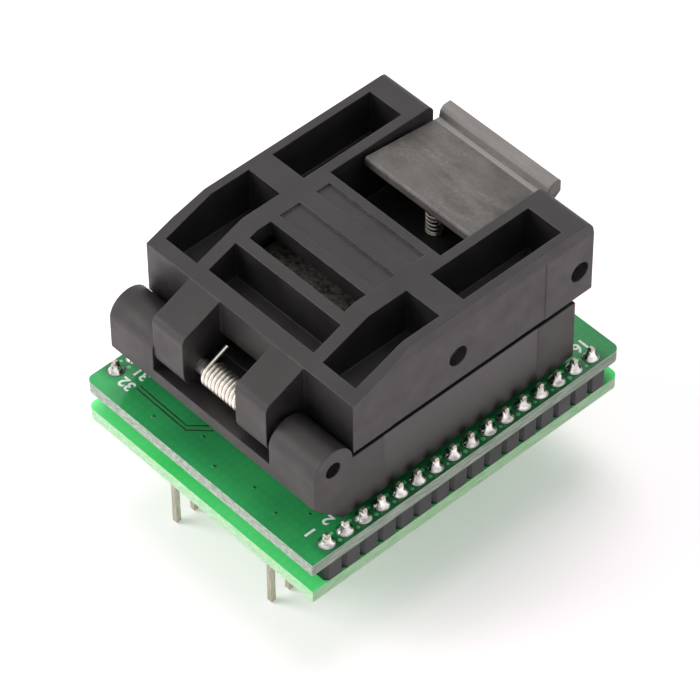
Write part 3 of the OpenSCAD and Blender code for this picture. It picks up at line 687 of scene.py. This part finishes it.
press_wire, nest_spring_od = 0.26 * MM, 1.7 * MM
latch_low, latch_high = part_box("latch_spring")
nest_low, nest_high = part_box("nest_springs")
latch_middle = ((latch_low.x + latch_high.x) / 2, (latch_low.y + latch_high.y) / 2, latch_low.z)
well_x, well_y = nest_high.x - nest_spring_od / 2, nest_high.y - nest_spring_od / 2
well_places = [(sx * well_x, sy * well_y, nest_low.z) for sx in (-1, 1) for sy in (-1, 1)]
for name, node, body, places, outside, length, turns in (
        ("wound_latch_spring", "latch_spring", "lid", [latch_middle],
         latch_high.x - latch_low.x, latch_high.z - latch_low.z, 9.0),
        ("wound_nest_springs", "nest_springs", "base", well_places,
         nest_spring_od, nest_high.z - nest_low.z, 5.0)):
    piece = grown(name, press_tree, places, [],
                  {"Outside": outside, "Wire": press_wire, "Length": length, "Turns": turns,
                   "Finish": wire_steel})
    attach(piece, body)
    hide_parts(node)

# ---------------------------------------------------------------- lid
# One moulding in the same black plastic as the base, cored out from above to keep its
# walls even. Its two label panels are left bare.

dress(socket_plastic, "lid")

# ---------------------------------------------------------------- latch lever
# Moulded in a greyer, glass-filled grade. The thumb plate shows flow marks and scuffs;
# its finger lip and the step before it are worn pale by handling.


def scuffed_lever():
    """Grey-black moulding with streaked flow marks and rubbed, paler high spots."""
    plate_from, lip_from = deck + 17.0 * MM, 19.9 * MM
    step_middle, step_half = 19.57 * MM, 0.36 * MM
    finish, tree, shader, place = moulded(
        "moulded_grey_polyphenylene_sulphide", "#3a3735", "#56524f", "#b8b3ad",
        0.2, 0.06, 0.5, 0.3)
    streaks = add(tree, "ShaderNodeMapping", {"Vector": place, "Scale": (0.5, 1, 1)})
    flow = cloud(tree, streaks.outputs[0], 4.0, 0.3, 0.72, detail=4, distortion=1.2)
    rubbed = cloud(tree, place, 0.4, 0.32, 0.7, detail=8)
    share = add(tree, "ShaderNodeMath", {0: rubbed, 1: 0.4, 2: 0.22},
                operation="MULTIPLY_ADD").outputs[0]
    share = add(tree, "ShaderNodeMath", {0: flow, 1: share}, operation="MULTIPLY",
                use_clamp=True).outputs[0]
    tint(tree, shader, share, "#857f7c")
    spot = add(tree, "ShaderNodeSeparateXYZ", {0: place})
    above = add(tree, "ShaderNodeMath", {0: spot.outputs["Z"], 1: plate_from},
                operation="GREATER_THAN").outputs[0]
    lip = add(tree, "ShaderNodeMath", {0: spot.outputs["Y"], 1: lip_from},
              operation="GREATER_THAN").outputs[0]
    step = add(tree, "ShaderNodeMath", {0: spot.outputs["Y"], 1: step_middle, 2: step_half},
               operation="COMPARE").outputs[0]
    for zone, wear in ((lip, 0.5), (step, 0.8)):
        zone = add(tree, "ShaderNodeMath", {0: zone, 1: above}, operation="MULTIPLY").outputs[0]
        zone = add(tree, "ShaderNodeMath", {0: zone, 1: wear}, operation="MULTIPLY").outputs[0]
        tint(tree, shader, zone, "#8f8a86")
    return finish


dress(scuffed_lever(), "latch_lever")

# ---------------------------------------------------------------- studio
# White paper sweep and a white room. One broad softbox hangs overhead and one stands at
# the front left; both stay out of reflections. A weak low one lends its glint instead.


def seen_directly(tree):
    """1 for rays from the camera, in a mirror or through glass; 0 for bounced light."""
    ray = add(tree, "ShaderNodeLightPath")
    seen = ray.outputs["Is Camera Ray"]
    for other in ("Is Glossy Ray", "Is Transmission Ray"):
        seen = add(tree, "ShaderNodeMath", {0: seen, 1: ray.outputs[other]},
                   operation="MAXIMUM").outputs[0]
    return seen


paper, tree, shader, place = new_finish("white_studio_paper", Roughness=0.9)
shader.inputs["Specular IOR Level"].default_value = 0.0
shader.inputs["Emission Color"].default_value = linear("#ffffff")
seen = seen_directly(tree)
tint(tree, shader, cloud(tree, place, 40.0, 0.2, 0.8), "#e2e2e2", "#e8e8e8")
tint(tree, shader, seen, "#f2e7ec")
glow = add(tree, "ShaderNodeMath", {0: seen, 1: 0.32}, operation="MULTIPLY")
tree.links.new(glow.outputs[0], shader.inputs["Emission Strength"])
sheet = bmesh.new()
bmesh.ops.create_grid(sheet, x_segments=1, y_segments=1, size=2.0)
floor_mesh = bpy.data.meshes.new("paper_sweep")
sheet.to_mesh(floor_mesh)
sheet.free()
floor_mesh.materials.append(paper)
in_scene("paper_sweep", floor_mesh)

world = bpy.data.worlds.new("white_room")
scene.world = world
world.use_nodes = True
tree = world.node_tree
tree.nodes.clear()
strength = add(tree, "ShaderNodeMapRange",
               {"Value": seen_directly(tree), "To Min": 0.35, "To Max": 1.0})
room = add(tree, "ShaderNodeBackground",
           {"Color": linear("#ffffff"), "Strength": strength.outputs[0]})
add(tree, "ShaderNodeOutputWorld", {"Surface": room.outputs[0]})

# Softboxes: place in metres, side, watts, and whether shiny faces mirror it
middle = Vector((-1.688 * MM, 1.027 * MM, deck))
for name, place, size, power, mirrored in (
        ("key_softbox", (-0.2, 0.22, 0.92), 0.6, 5.4, False),
        ("front_softbox", (-0.6, -0.65, 0.55), 0.7, 7.5, False),
        ("low_softbox", (-0.6, -0.65, 0.42), 0.5, 1.6, True)):
    lamp = bpy.data.lights.new(name, "AREA")
    lamp.shape = "SQUARE"
    lamp.size = size
    lamp.energy = power
    stand = bpy.data.objects.new(name, lamp)
    stand.location = place
    stand.visible_glossy = mirrored
    stand.rotation_euler = (middle - Vector(place)).to_track_quat("-Z", "Y").to_euler()
    scene.collection.objects.link(stand)

# Camera: long lens from the front right, a little above 45 degrees
azimuth, elevation, roll = math.radians(47.56), math.radians(46.86), math.radians(-0.50)
distance = 0.4493
back = Vector((math.sin(azimuth) * math.cos(elevation),
               -math.cos(azimuth) * math.cos(elevation), math.sin(elevation)))
level = Vector((math.cos(azimuth), math.sin(azimuth), 0))
rise = back.cross(level)
right = math.cos(roll) * level + math.sin(roll) * rise
up = -math.sin(roll) * level + math.cos(roll) * rise
lens = bpy.data.cameras.new("camera")
lens.sensor_width = 36
lens.lens = 217.07
lens.clip_start, lens.clip_end = 0.01, 10
camera = bpy.data.objects.new("camera", lens)
turned_to = Matrix((right, up, back)).transposed().to_4x4()
camera.matrix_world = Matrix.Translation(middle + back * distance) @ turned_to
scene.collection.objects.link(camera)
scene.camera = camera
scene.view_settings.view_transform = "Standard"
